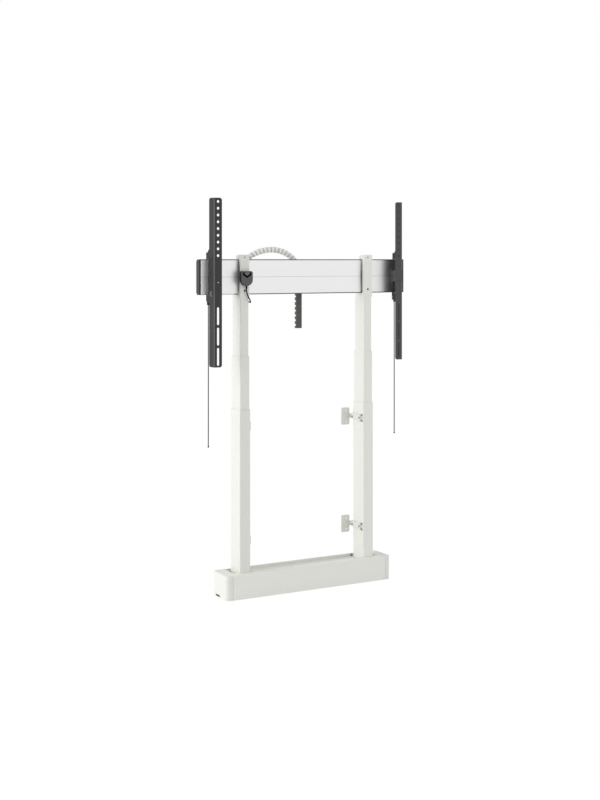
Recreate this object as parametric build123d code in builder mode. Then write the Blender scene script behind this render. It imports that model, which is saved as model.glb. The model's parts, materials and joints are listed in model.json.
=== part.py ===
from build123d import *
from math import cos, radians, sin, tan
import os

# Motorised lift for a large flat screen, standing on the floor against a wall.
# X runs along the rail, Y from the front to the wall, Z up. The origin lies on
# the floor, in the middle of the length and of the depth. Millimetres.
# The lift is drawn near the upper end of its travel.

os.makedirs("parts", exist_ok=True)
SIDES = (("left", -1), ("right", 1))
BUTTONS = ("up_button", "down_button")

# Overall places
total_depth = 127.0
rail_length = 910.0
base_setback = 2.0
column_setback = 27.0
rail_setback = 48.0
column_spacing = 548.0
front_y = -total_depth / 2
wall_y = total_depth / 2
column_x = column_spacing / 2
rail_front_y = front_y + rail_setback
overrun = 5.0

# Travel of the lift from the drawn place
lift_down = 380.0
lift_up = 120.0

# Base
base_overhang = 89.0
base_depth = 122.0
base_height = 95.0
pad_height = 3.0
pad_radius = 15.0
pad_inset_x = 62.0
pad_inset_y = 32.0
cover_wall = 2.5
cover_edge_radius = 3.0
end_cap_length = 26.0
end_cap_corner = 18.0
end_cap_edge = 2.0
seam_gap = 0.8
ledge_depth = 36.0
rim_depth = 10.0
frame_wall = 2.5
frame_lip = 20.0
frame_bend = 4.0
tray_depth = 12.0
tray_wall = 1.5
tray_bend = 2.0
tray_reach = 43.0
column_gap = 0.5
notch_width = 8.0
notch_depth = 6.0
ledge_notch_depth = 11.0
outlet_width = 34.0
outlet_height = 7.0
outlet_sill = 3.0
outlet_from_back = 28.5
base_front_y = front_y + base_setback
base_back_y = base_front_y + base_depth
base_half = column_x + base_overhang
seam_x = base_half - end_cap_length
ledge_back_y = base_front_y + ledge_depth
rim_front_y = base_back_y - rim_depth
tray_floor = base_height - tray_depth
tray_half = column_x + tray_reach
frame_top = pad_height + frame_wall
floor_inset = cover_wall + column_gap

# Three stage columns
lower_width = 45.0
lower_depth = 80.0
lower_top = 706.0
stage_step = 5.0
tube_wall = 1.5
tube_corner = 4.0
middle_bottom = 262.0
middle_top = 908.0
upper_bottom = 474.0
glide_thickness = 0.7
glide_height = 34.0
glide_inset = 3.0
column_y = front_y + column_setback + lower_depth / 2
middle_width = lower_width - stage_step
middle_depth = lower_depth - stage_step
upper_width = middle_width - stage_step
upper_depth = middle_depth - stage_step

# Drive in each column
housing_top = 60.0
housing_width = 56.0
housing_depth = 86.0
housing_flange = 6.0
housing_flange_reach = 12.0
housing_corner = 6.0
boss_height = 8.0
motor_radius = 23.0
motor_length = 92.0
motor_cap_radius = 19.0
motor_cap_length = 9.0
motor_clearance = 1.0
screw_radius = 6.0
screw_offset = 16.0
lower_screw_top = 352.0
upper_screw_top = 562.0
running_gap = 0.08
block_height = 16.0
bearing_depth = 10.0
nut_height = 22.0
nut_collar_radius = 12.0
nut_collar_height = 8.0
nut_inset = 3.0
hex_turn = 30.0
screw_clearance = 0.15

# Control box in the base
box_length = 190.0
box_depth = 84.0
box_height = 44.0
box_corner = 6.0
socket_width = 16.0
socket_height = 11.0
socket_depth = 4.0
socket_count = 5
socket_pitch = 26.0

# Wall brackets on the inner faces of the lower tubes
bracket_heights = (215.0, 645.0)
bracket_reach = 8.5
bracket_length = 68.5
bracket_height = 27.0
bracket_front = 14.5
bracket_taper = 30.0
bracket_tail = 20.0
bracket_flange_wall = 2.5
bracket_flange_reach = 10.5
bracket_flange_overlap = 2.0
bracket_flange_height = 34.0
bracket_screw_spacing = 22.0
bracket_screw_inset = 6.0
bracket_tail_screw_inset = 11.5
bracket_screw_radius = 2.2
bracket_screw_head_radius = 3.6
bracket_screw_head = 1.6
rod_radius = 2.5
rod_depth = 6.0
wall_plate_width = 37.5
wall_plate_height = 68.0
wall_plate_wall = 2.5
wall_plate_corner = 5.0
wall_plate_reach = 43.5
wall_ear_height = 18.0
wall_ear_reach = 6.0
wall_hole_radius = 2.75
wall_hole_spacing = 44.0
wall_hole_inset = 23.5
nut_radius = 4.6
nut_length = 4.0

# Rail
rail_bottom = 1139.5
rail_height = 133.0
rail_depth = 26.0
rail_wall = 2.4
rail_cap_length = 7.0
rail_chamfer = 8.0
rail_cap_inset = 0.5
rail_cap_plug = 8.0
band_height = 46.0
band_depth = 1.0
line_width = 1.6
line_depth = 1.0
edge_line_inset = 3.0
hook_slot_width = 8.0
hook_slot_depth = 13.0
back_slot_width = 9.0
back_slot_depth = 3.5
back_slot_room = 15.0
back_slot_room_depth = 6.0
rail_corner = 1.0
back_slot_offset = 32.0
rail_top = rail_bottom + rail_height
rail_back_y = rail_front_y + rail_depth
rail_middle = rail_bottom + rail_height / 2
rail_half = rail_length / 2 - rail_cap_length
chamber_half = back_slot_offset - back_slot_room / 2 - rail_wall

# Column heads
head_wall = 1.5
head_top = 1290.0
head_bottom = 1124.0
head_reach = 18.0
head_chamfer = 6.0
head_gap = 0.5
bow_depth = 14.5
bow_bottom = 1142.0
bow_top = 1283.0
head_slot_depth = 6.5
top_hole_radius = 2.5
top_hole_drop = 10.0
low_hole_radius = 4.0
low_hole_rise = 14.5
clamp_gap = 0.5
clamp_web = 5.0
clamp_inset = 1.0
hex_depth = 2.0
set_screw_length = 9.0
set_screw_recess = 0.8
bolt_head_radius = 3.4
bolt_head_length = 5.0
bolt_radius = 2.4
hex_share = 0.5
saddle_drop = 24.0
saddle_gap = 0.3
tongue_top = 1160.0
tongue_gap = 1.5
head_half = upper_width / 2 + head_wall
head_front_y = column_y - upper_depth / 2 - head_wall
head_back_y = rail_front_y + head_reach

# Cable hose, its collars and the cable duct behind the rail
hose_radius = 12.2
hose_valley_radius = 10.3
hose_bore_radius = 8.2
hose_setback = 90.0
hose_peak_inset = 147.0
hose_peak_height = 1309.5
hose_left_radius = 190.0
hose_right_radius = 143.0
hose_left_turn = 28.6
hose_right_turn = 39.5
hose_rib_count = 26
rib_shares = (0.19, 0.27, 0.73, 0.81)
arc_shares = (0, 0.5, 1)
collar_wall = 1.3
collar_height = 14.0
collar_base = 2.0
duct_width = 24.0
duct_depth = 13.0
duct_wall = 1.8
duct_bottom = 1004.5
duct_top = 1190.0
duct_inset = 264.5
duct_slot_width = 6.0
duct_slot_pitch = 18.5
duct_slot_depth = 8.5
duct_post_width = 14.0
duct_post_height = 30.0
hose_y = front_y + hose_setback
hose_peak_x = -column_x + hose_peak_inset
duct_x = -column_x + duct_inset
duct_y = hose_y - duct_depth / 2
hose_start_z = tongue_top + collar_base
hose_end_z = duct_top + collar_base
left_share = sin(radians(hose_left_turn))
right_share = sin(radians(hose_right_turn))
hose_left_close = (column_x + hose_peak_x - hose_left_radius * left_share) / (1 - left_share)
hose_right_close = (duct_x - hose_peak_x - hose_right_radius * right_share) / (1 - right_share)
left_rise = hose_left_radius * (1 - cos(radians(hose_left_turn))) + hose_left_close * cos(radians(hose_left_turn))
right_fall = hose_right_radius * (1 - cos(radians(hose_right_turn))) + hose_right_close * cos(radians(hose_right_turn))
hose_left_straight = hose_peak_height - left_rise - hose_start_z
hose_right_straight = hose_peak_height - right_fall - hose_end_z
hose_runs = (
    (hose_left_straight, 0),
    (hose_left_close * radians(90 - hose_left_turn), hose_left_close),
    (hose_left_radius * radians(hose_left_turn), hose_left_radius),
    (hose_right_radius * radians(hose_right_turn), hose_right_radius),
    (hose_right_close * radians(90 - hose_right_turn), hose_right_close),
    (hose_right_straight, 0),
)
hose_length = sum(length for length, radius in hose_runs)

# Handset on the left head
handset_width = 50.0
handset_height = 55.0
handset_depth = 13.0
handset_bottom = 1173.0
handset_round = 23.0
handset_corner = 7.0
handset_edge = 2.0
handset_gap = 0.3
button_half = 17.0
button_height = 20.5
button_slope = 33.0
button_band = 6.0
button_rib = 1.6
button_drop = 5.0
button_depth = 5.0
button_proud = 1.2
button_travel = 1.2
button_gap = 0.35
holder_width = 30.0
holder_height = 44.0
holder_wall = 2.0
boot_length = 14.0
boot_top_radius = 3.6
boot_end_radius = 2.8
handset_cable_radius = 2.3
grommet_radius = 6.0
grommet_length = 2.0
grommet_neck = 4.0
grommet_height = 1114.0
handset_shift = 2.0
cable_shift = 0.5
cable_drop = 15.0
cable_side = 28.0
cable_side_back = 6.5
cable_fall = 52.0
cable_exit = 10.5
bend_share = 0.45
handset_x = -column_x + handset_shift
handset_top = handset_bottom + handset_height
handset_middle = handset_bottom + handset_height / 2
handset_back_y = head_front_y - holder_wall - handset_gap
handset_front_y = handset_back_y - handset_depth
cable_x = handset_x + cable_shift
cable_y = handset_back_y - handset_depth / 2
cable_start_z = handset_bottom - boot_length
cable_end_x = -column_x + upper_width / 2 + grommet_length
cable_points = (
    (cable_x, cable_y, cable_start_z),
    (cable_x, cable_y, cable_start_z - cable_drop),
    (-column_x + cable_side, cable_y + cable_side_back, cable_start_z - cable_fall),
    (cable_end_x + cable_exit, column_y, grommet_height),
    (cable_end_x, column_y, grommet_height),
)

# Display strips, one each side
strip_length = 627.0
strip_bottom = 873.0
strip_width = 32.5
strip_wall = 2.5
strip_flange = 42.0
strip_corner = 9.0
strip_bend = 3.5
hole_line_inset = 15.5
hole_pitch = 25.0
hole_count = 9
hole_radius = 5.2
long_slot_width = 9.4
hole_top_margin = 14.0
long_slot_length = 66.0
long_slot_pitch = 75.0
long_slot_count = 3
long_slot_first = 912.0
small_hole_radius = 2.3
small_hole_height = 1186.5
strip_setback = 70.5
hook_reach = 68.0
hook_rise = 25.0
hook_chamfer = 10.0
hook_top_chamfer = 15.0
hook_drop = 24.0
hook_gap = 0.6
hook_tip_width = 5.0
hook_tip_drop = 9.0
edge_reach = 1.0
pad_gap = 0.35
pad_block_height = 44.0
pad_block_depth = 14.0
pad_block_width = 9.0
lock_wall = 2.2
lock_gap = 0.4
lock_top_gap = 3.5
lock_front = 30.0
lock_travel = 10.0
lock_tip_rise = 8.0
lock_tip_width = 4.6
lock_lug_height = 8.0
lock_lug_width = 8.0
lock_slot_width = 4.4
lock_slot_front = 36.0
lock_slot_back = 60.0
lock_pin_radius = 2.0
lock_pin_head_radius = 3.6
lock_pin_head = 1.4
adjust_screw_radius = 3.0
adjust_head_radius = 7.0
adjust_head = 4.0
adjust_setback = 20.0
adjust_height = 1144.0
adjust_washer_radius = 10.0
adjust_washer = 1.2
lock_pin_height = 1121.0
lock_margin = 8.8
lock_lug_overlap = 2.0
cord_radius = 1.9
cord_inset = 2.7
cord_setback = 54.5
cord_end_height = 571.0
knot_radius = 3.4
knot_length = 7.0
strip_inner = rail_length / 2 - strip_setback
hole_line = strip_inner + hole_line_inset
cord_x = strip_inner + strip_width - cord_inset
cord_y = front_y + cord_setback
slot_y = front_y + hook_reach - hook_tip_width / 2
tube_face = column_x - lower_width / 2
rod_x = tube_face - bracket_reach / 2
wall_plate_inner = tube_face - wall_plate_reach
bracket_front_y = column_y - lower_depth / 2 + bracket_front
bracket_back_y = bracket_front_y + bracket_length
clamp_half = upper_width / 2 - clamp_gap


def keep(piece, name):
    # Label one finished piece and write its file
    piece.part.label = name
    export_step(piece.part, f"parts/{name}.step")


def add_ring(width, depth, wall, corner):
    # Rectangular ring with rounded corners, in the sketch that is open
    RectangleRounded(width, depth, corner)
    RectangleRounded(width - 2 * wall, depth - 2 * wall, max(corner - wall, wall / 2), mode=Mode.SUBTRACT)


def span(sign, one, other):
    # Limits along X of a piece between two distances from the middle, on one side
    return tuple(sorted((sign * one, sign * other)))


def block(x_span, y_span, z_span, mode=Mode.ADD):
    # Plain box between three pairs of limits, added to or cut from the open part
    size = (x_span[1] - x_span[0], y_span[1] - y_span[0], z_span[1] - z_span[0])
    middle = ((x_span[0] + x_span[1]) / 2, (y_span[0] + y_span[1]) / 2, (z_span[0] + z_span[1]) / 2)
    with Locations(middle):
        Box(*size, mode=mode)


def pin(axis, place, limits, radius, mode=Mode.ADD):
    # Round bar along one axis between two limits; place holds the other two coordinates
    middle = (limits[0] + limits[1]) / 2
    turns = {"x": (0, 90, 0), "y": (90, 0, 0), "z": (0, 0, 0)}
    centres = {"x": (middle, *place), "y": (place[0], middle, place[1]), "z": (*place, middle)}
    with Locations(centres[axis]):
        Cylinder(radius, abs(limits[1] - limits[0]), rotation=turns[axis], mode=mode)


def cut_rectangle(y_limits, z_limits):
    # Rectangle cut from the section of the rail, between limits in Y and in Z
    with Locations(((y_limits[0] + y_limits[1]) / 2, (z_limits[0] + z_limits[1]) / 2)):
        Rectangle(abs(y_limits[1] - y_limits[0]), abs(z_limits[1] - z_limits[0]), mode=Mode.SUBTRACT)


def add_bow(back_y, low, high, depth):
    # D shape in the open sketch: straight at the back, an arc in front
    with BuildLine() as bow:
        ThreePointArc((back_y, low), (back_y - depth, (low + high) / 2), (back_y, high))
        Line((back_y, high), (back_y, low))
    make_face(bow.edges())


def bracket_screw_places(z):
    # The four screws of one wall bracket, each as a place in Y and Z and the metal under its head
    flange_y = bracket_front_y - bracket_flange_reach / 2
    flange = [((flange_y, z + way * bracket_screw_spacing / 2), bracket_flange_wall) for way in (-1, 1)]
    body = (bracket_front_y + bracket_screw_inset, bracket_back_y - bracket_tail_screw_inset)
    return flange + [((y, z), bracket_reach) for y in body]


def hose_plane(run):
    # Plane square to the hose, a run along its middle line from the left end
    x, z, heading = -column_x, hose_start_z, radians(90)
    left = run
    for length, radius in hose_runs:
        part = min(left, length)
        if radius:
            turned = heading - part / radius
            x += radius * (sin(heading) - sin(turned))
            z += radius * (cos(turned) - cos(heading))
            heading = turned
        else:
            x += part * cos(heading)
            z += part * sin(heading)
        left -= part
    return Plane(origin=(x, hose_y, z), x_dir=(0, 1, 0), z_dir=(cos(heading), 0, sin(heading)))


def add_shield(inset, rise, mode=Mode.ADD):
    # Shield with upright sides and a pointed foot, drawn in by an inset, its top raised
    half = button_half - inset
    top = handset_top - button_drop + rise
    tip = handset_top - button_drop - button_height + inset / cos(radians(button_slope))
    shoulder = tip + half * tan(radians(button_slope))
    with BuildLine() as edge:
        Polyline(
            (handset_x - half, top),
            (handset_x - half, shoulder),
            (handset_x, tip),
            (handset_x + half, shoulder),
            (handset_x + half, top),
            close=True,
        )
    make_face(edge.edges(), mode=mode)


def add_button(name, growth):
    # Outline of one button in the open sketch, grown all round by a gap
    if name == "down_button":
        add_shield(-growth, growth)
        add_shield(button_band + growth, button_height, Mode.SUBTRACT)
    else:
        add_shield(button_band + button_rib - growth, growth)


# Base: four rubber pads under the frame
with BuildPart() as floor_pads:
    with BuildSketch(Plane.XY):
        for x in (-base_half + pad_inset_x, base_half - pad_inset_x):
            for y in (base_front_y + pad_inset_y, base_back_y - pad_inset_y):
                with Locations((x, y)):
                    Circle(pad_radius)
    extrude(amount=pad_height)
keep(floor_pads, "floor_pads")

# Base: folded steel frame with a front lip, a rear wall and a top rim, its floor reaching into the end caps
with BuildPart() as base_frame:
    with BuildSketch(Plane.YZ.offset(-seam_x + seam_gap)):
        with BuildLine() as fold:
            FilletPolyline(
                (base_front_y + cover_wall + column_gap, pad_height + frame_lip),
                (base_front_y + cover_wall + column_gap, pad_height),
                (base_back_y, pad_height),
                (base_back_y, base_height),
                (rim_front_y, base_height),
                radius=frame_bend,
            )
            offset(fold.line, amount=frame_wall, side=Side.LEFT)
        make_face()
    extrude(amount=2 * (seam_x - seam_gap))
    with BuildSketch(Plane.XY.offset(pad_height)):
        with Locations((0, (base_front_y + base_back_y) / 2)):
            RectangleRounded(2 * (base_half - floor_inset), base_depth - 2 * floor_inset, end_cap_corner - floor_inset)
    extrude(amount=frame_wall)
    block(
        (column_x - lower_width / 2 - notch_width, column_x - lower_width / 2),
        (rim_front_y - overrun, rim_front_y + notch_depth),
        (base_height - frame_wall - frame_bend, base_height + overrun),
        Mode.SUBTRACT,
    )
keep(base_frame, "base_frame")

# Base: front cover with its ledge, notched round the fronts of the columns
with BuildPart() as front_cover:
    with BuildSketch(Plane.YZ.offset(-seam_x + seam_gap)):
        with BuildLine() as fold:
            FilletPolyline(
                (base_front_y, pad_height),
                (base_front_y, base_height),
                (ledge_back_y, base_height),
                radius=cover_edge_radius,
            )
            offset(fold.line, amount=cover_wall, side=Side.RIGHT)
        make_face()
    extrude(amount=2 * (seam_x - seam_gap))
    for side, sign in SIDES:
        block(
            (sign * column_x - lower_width / 2 - column_gap, sign * column_x + lower_width / 2 + column_gap),
            (column_y - lower_depth / 2 - column_gap, ledge_back_y + overrun),
            (base_height - cover_wall - overrun, base_height + overrun),
            Mode.SUBTRACT,
        )
    block(
        (-column_x + lower_width / 2, -column_x + lower_width / 2 + notch_width),
        (ledge_back_y - ledge_notch_depth, ledge_back_y + overrun),
        (base_height - cover_wall - overrun, base_height + overrun),
        Mode.SUBTRACT,
    )
keep(front_cover, "front_cover")

# Base: sunken cable tray between ledge and rim, with holes for the columns
with BuildPart() as cable_tray:
    with BuildSketch(Plane.YZ.offset(-tray_half)):
        with BuildLine() as fold:
            FilletPolyline(
                (ledge_back_y - tray_wall, base_height - cover_wall),
                (ledge_back_y - tray_wall, tray_floor),
                (rim_front_y + tray_wall, tray_floor),
                (rim_front_y + tray_wall, base_height - frame_wall),
                radius=tray_bend,
            )
            offset(fold.line, amount=tray_wall, side=Side.LEFT)
        make_face()
    extrude(amount=2 * tray_half)
    for side, sign in SIDES:
        block(
            (min(sign * tray_half, sign * (tray_half - tray_wall)), max(sign * tray_half, sign * (tray_half - tray_wall))),
            (ledge_back_y - tray_wall, rim_front_y + tray_wall),
            (tray_floor, base_height - cover_wall),
        )
        block(
            (sign * column_x - lower_width / 2 - column_gap, sign * column_x + lower_width / 2 + column_gap),
            (column_y - lower_depth / 2 - column_gap, column_y + lower_depth / 2 + column_gap),
            (tray_floor - overrun, base_height + overrun),
            Mode.SUBTRACT,
        )
    block(
        (-column_x + lower_width / 2, -column_x + lower_width / 2 + notch_width),
        (ledge_back_y - ledge_notch_depth, ledge_back_y + tray_wall),
        (tray_floor - overrun, base_height + overrun),
        Mode.SUBTRACT,
    )
    block(
        (column_x - lower_width / 2 - notch_width, column_x - lower_width / 2),
        (rim_front_y - tray_wall, rim_front_y + notch_depth),
        (tray_floor - overrun, base_height + overrun),
        Mode.SUBTRACT,
    )
keep(cable_tray, "cable_tray")

# Base: rounded end caps, each with a low cable outlet and a tongue beside the tray
for side, sign in SIDES:
    with BuildPart() as end_cap:
        with BuildSketch(Plane.XY.offset(pad_height)) as outline:
            with Locations((sign * (seam_x + end_cap_length / 2), (base_front_y + base_back_y) / 2)):
                Rectangle(end_cap_length, base_depth)
            outer = outline.vertices().sort_by(Axis.X)[-2:] if sign > 0 else outline.vertices().sort_by(Axis.X)[:2]
            fillet(outer, end_cap_corner)
        extrude(amount=base_height - pad_height)
        seam_face = end_cap.faces().sort_by(Axis.X)[0 if sign > 0 else -1]
        top_face = end_cap.faces().sort_by(Axis.Z)[-1]
        round_edges = [e for e in top_face.edges() if abs(e.center().X - sign * seam_x) > seam_gap]
        fillet(round_edges, end_cap_edge)
        seam_face = end_cap.faces().sort_by(Axis.X)[0 if sign > 0 else -1]
        bottom_face = end_cap.faces().sort_by(Axis.Z)[0]
        offset(amount=-cover_wall, openings=[seam_face, bottom_face])
        tongue = sorted((sign * (tray_half + seam_gap), sign * (seam_x + cover_wall)))
        block(tongue, (ledge_back_y + seam_gap, rim_front_y - seam_gap), (base_height - cover_wall, base_height))
        outlet_y = base_back_y - outlet_from_back - outlet_width
        block(
            sorted((sign * (base_half - cover_wall - overrun), sign * (base_half + overrun))),
            (outlet_y, outlet_y + outlet_width),
            (pad_height + outlet_sill, pad_height + outlet_sill + outlet_height),
            Mode.SUBTRACT,
        )
    keep(end_cap, f"end_cap_{side}")

# Control box on the frame, between the motors
with BuildPart() as control_box:
    with BuildSketch(Plane.XY.offset(frame_top)):
        with Locations((0, column_y)):
            RectangleRounded(box_length, box_depth, box_corner)
    extrude(amount=box_height)
    fillet(control_box.faces().sort_by(Axis.Z)[-1].edges(), box_corner / 2)
    for index in range(socket_count):
        x = (index - (socket_count - 1) / 2) * socket_pitch
        block(
            (x - socket_width / 2, x + socket_width / 2),
            (column_y - box_depth / 2 - overrun, column_y - box_depth / 2 + socket_depth),
            (frame_top + box_height / 2 - socket_height, frame_top + box_height / 2),
            Mode.SUBTRACT,
        )
keep(control_box, "control_box")

# Columns: fixed lower tubes, their drives, and the stages that telescope
for side, sign in SIDES:
    x = sign * column_x
    inner = -sign
    boss_width = lower_width - 2 * tube_wall
    boss_depth = lower_depth - 2 * tube_wall
    lower_screw_y = column_y - screw_offset
    upper_screw_y = column_y + screw_offset

    # Cast gear housing that carries the lower tube on a boss
    with BuildPart() as drive_housing:
        with BuildSketch(Plane.XY.offset(frame_top)):
            with Locations((x, column_y)):
                RectangleRounded(
                    housing_width + 2 * housing_flange_reach, housing_depth + housing_flange_reach, housing_corner
                )
        extrude(amount=housing_flange)
        with BuildSketch(Plane.XY.offset(frame_top)):
            with Locations((x, column_y)):
                RectangleRounded(housing_width, housing_depth, housing_corner)
        extrude(amount=housing_top - frame_top)
        with BuildSketch(Plane.XY.offset(housing_top)):
            with Locations((x, column_y)):
                RectangleRounded(boss_width, boss_depth, tube_corner - tube_wall)
        extrude(amount=boss_height)
        with Locations((x, lower_screw_y, housing_top + boss_height - bearing_depth / 2)):
            Cylinder(screw_radius + running_gap, bearing_depth, mode=Mode.SUBTRACT)
    keep(drive_housing, f"drive_housing_{side}")

    # Motor lying in the base, flanged to the inner face of the housing
    motor_z = frame_top + housing_flange + motor_clearance + motor_radius
    motor_face = x + inner * housing_width / 2
    with BuildPart() as motor:
        with BuildSketch(Plane.YZ.offset(motor_face)):
            with Locations((column_y, motor_z)):
                Circle(motor_radius)
        extrude(amount=inner * motor_length)
        with BuildSketch(Plane.YZ.offset(motor_face + inner * motor_length)):
            with Locations((column_y, motor_z)):
                Circle(motor_cap_radius)
        extrude(amount=inner * motor_cap_length)
    keep(motor, f"motor_{side}")

    with BuildPart() as lower_tube:
        with BuildSketch(Plane.XY.offset(housing_top)):
            with Locations((x, column_y)):
                add_ring(lower_width, lower_depth, tube_wall, tube_corner)
        extrude(amount=lower_top - housing_top)
        for height in bracket_heights:
            for place, metal in bracket_screw_places(height):
                pin(
                    "x",
                    place,
                    span(sign, tube_face - overrun, tube_face + tube_corner),
                    bracket_screw_radius + screw_clearance,
                    Mode.SUBTRACT,
                )
    keep(lower_tube, f"lower_tube_{side}")

    with BuildPart() as lower_screw:
        with BuildSketch(Plane.XY.offset(housing_top + boss_height - bearing_depth + running_gap)):
            with Locations((x, lower_screw_y)):
                Circle(screw_radius)
        extrude(amount=lower_screw_top - housing_top - boss_height + bearing_depth)
        chamfer(lower_screw.faces().sort_by(Axis.Z)[-1].edges(), screw_radius / 4)
    keep(lower_screw, f"lower_screw_{side}")

    with BuildPart() as middle_tube:
        with BuildSketch(Plane.XY.offset(middle_bottom)):
            with Locations((x, column_y)):
                add_ring(middle_width, middle_depth, tube_wall, tube_corner)
        extrude(amount=middle_top - middle_bottom)
    keep(middle_tube, f"middle_tube_{side}")

    # Closed block in the foot of the middle tube: nut of one screw, bearing of the other
    with BuildPart() as transfer_block:
        with BuildSketch(Plane.XY.offset(middle_bottom)):
            with Locations((x, column_y)):
                RectangleRounded(middle_width - 2 * tube_wall, middle_depth - 2 * tube_wall, tube_corner - tube_wall)
            with Locations((x, lower_screw_y)):
                Circle(screw_radius + running_gap, mode=Mode.SUBTRACT)
        extrude(amount=block_height)
        with Locations((x, upper_screw_y, middle_bottom + block_height - bearing_depth / 2)):
            Cylinder(screw_radius + running_gap, bearing_depth, mode=Mode.SUBTRACT)
    keep(transfer_block, f"transfer_block_{side}")

    with BuildPart() as upper_screw:
        with BuildSketch(Plane.XY.offset(middle_bottom + block_height - bearing_depth + running_gap)):
            with Locations((x, upper_screw_y)):
                Circle(screw_radius)
        extrude(amount=upper_screw_top - middle_bottom - block_height + bearing_depth)
        chamfer(upper_screw.faces().sort_by(Axis.Z)[-1].edges(), screw_radius / 4)
    keep(upper_screw, f"upper_screw_{side}")

    # Upper tube, cut down in front for the rail, its back rising behind the rail
    with BuildPart() as upper_tube:
        with BuildSketch(Plane.XY.offset(upper_bottom)):
            with Locations((x, column_y)):
                add_ring(upper_width, upper_depth, tube_wall, tube_corner)
        extrude(amount=tongue_top - upper_bottom)
        block(
            (x - upper_width, x + upper_width),
            (column_y - upper_depth, rail_back_y + tongue_gap),
            (rail_bottom - saddle_gap, tongue_top + overrun),
            Mode.SUBTRACT,
        )
        if side == "left":
            face = x + upper_width / 2
            pin("x", (column_y, grommet_height), (face - tube_corner, face + overrun), grommet_neck, Mode.SUBTRACT)
    keep(upper_tube, f"upper_tube_{side}")

    # Nut in the foot of the upper tube, clear of the lower screw
    with BuildPart() as upper_nut:
        with BuildSketch(Plane.XY.offset(upper_bottom)):
            with Locations((x, column_y)):
                RectangleRounded(upper_width - 2 * tube_wall, upper_depth - 2 * tube_wall, tube_corner - tube_wall)
            with Locations((x, column_y - upper_depth / 2 + nut_inset)):
                Rectangle(upper_width, upper_depth, mode=Mode.SUBTRACT)
        extrude(amount=nut_height)
        pin("z", (x, upper_screw_y), (upper_bottom, upper_bottom + nut_height + nut_collar_height), nut_collar_radius)
        pin(
            "z",
            (x, upper_screw_y),
            (upper_bottom - overrun, upper_bottom + nut_height + nut_collar_height + overrun),
            screw_radius + running_gap,
            Mode.SUBTRACT,
        )
    keep(upper_nut, f"upper_nut_{side}")

    # Glide rings of the middle tube: one inside its mouth, one round its foot
    with BuildPart() as middle_glides:
        with BuildSketch(Plane.XY.offset(middle_top - glide_inset - glide_height)):
            with Locations((x, column_y)):
                add_ring(
                    middle_width - 2 * tube_wall,
                    middle_depth - 2 * tube_wall,
                    glide_thickness,
                    tube_corner - tube_wall,
                )
        extrude(amount=glide_height)
        with BuildSketch(Plane.XY.offset(middle_bottom + glide_inset)):
            with Locations((x, column_y)):
                add_ring(
                    middle_width + 2 * glide_thickness,
                    middle_depth + 2 * glide_thickness,
                    glide_thickness,
                    tube_corner + glide_thickness,
                )
        extrude(amount=glide_height)
    keep(middle_glides, f"middle_glides_{side}")

    # Folded head: a front plate and two cheeks that hold the rail, the outer one cut in a bow
    with BuildPart() as head_bracket:
        block((x - head_half, x + head_half), (head_front_y, head_back_y), (head_bottom, head_top))
        back_edges = head_bracket.edges().filter_by(Axis.X).group_by(Axis.Y)[-1]
        chamfer(back_edges, head_chamfer)
        block(
            (x - upper_width / 2, x + upper_width / 2),
            (head_front_y + head_wall, head_back_y + overrun),
            (head_bottom - overrun, head_top + overrun),
            Mode.SUBTRACT,
        )
        block(
            (x - head_half - overrun, x + head_half + overrun),
            (rail_front_y - head_gap, head_back_y + overrun),
            (rail_bottom, rail_top + head_gap),
            Mode.SUBTRACT,
        )
        with BuildSketch(Plane.YZ.offset(x)):
            add_bow(rail_front_y - head_gap, bow_bottom, bow_top, bow_depth)
        extrude(amount=sign * (head_half + overrun), mode=Mode.SUBTRACT)
        block(
            span(sign, column_x - head_half - overrun, column_x),
            (rail_front_y - head_slot_depth, rail_front_y),
            (rail_bottom, rail_top + head_gap),
            Mode.SUBTRACT,
        )
        holes_y = (head_front_y - overrun, head_front_y + head_wall + overrun)
        pin("y", (x, head_top - top_hole_drop), holes_y, top_hole_radius, Mode.SUBTRACT)
        pin("y", (x, rail_bottom + low_hole_rise), holes_y, low_hole_radius, Mode.SUBTRACT)
    keep(head_bracket, f"head_bracket_{side}")

# Glide rings inside the mouths of the lower tubes
with BuildPart() as lower_glides:
    for side, sign in SIDES:
        with BuildSketch(Plane.XY.offset(lower_top - glide_inset - glide_height)):
            with Locations((sign * column_x, column_y)):
                add_ring(
                    lower_width - 2 * tube_wall,
                    lower_depth - 2 * tube_wall,
                    glide_thickness,
                    tube_corner - tube_wall,
                )
        extrude(amount=glide_height)
keep(lower_glides, "lower_glides")

# Wall brackets: tapered blocks with a front flange, screwed to the lower tubes
with BuildPart() as column_brackets:
    for side, sign in SIDES:
        for z in bracket_heights:
            top, bottom = z + bracket_height / 2, z - bracket_height / 2
            with BuildSketch(Plane.YZ.offset(min(span(sign, tube_face, tube_face - bracket_reach)))):
                with BuildLine():
                    Polyline(
                        (bracket_front_y, bottom),
                        (bracket_back_y - bracket_taper, bottom),
                        (bracket_back_y, top - bracket_tail),
                        (bracket_back_y, top),
                        (bracket_front_y, top),
                        close=True,
                    )
                make_face()
            extrude(amount=bracket_reach)
            block(
                span(sign, tube_face, tube_face - bracket_flange_wall),
                (bracket_front_y - bracket_flange_reach, bracket_front_y + bracket_flange_overlap),
                (z - bracket_flange_height / 2, z + bracket_flange_height / 2),
            )
            for place, metal in bracket_screw_places(z):
                shank = span(sign, tube_face + overrun, tube_face - bracket_reach - overrun)
                pin("x", place, shank, bracket_screw_radius + screw_clearance, Mode.SUBTRACT)
            rod_hole = (bracket_back_y - rod_depth, bracket_back_y + overrun)
            pin("y", (sign * rod_x, z), rod_hole, rod_radius + screw_clearance, Mode.SUBTRACT)
keep(column_brackets, "column_brackets")

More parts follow.
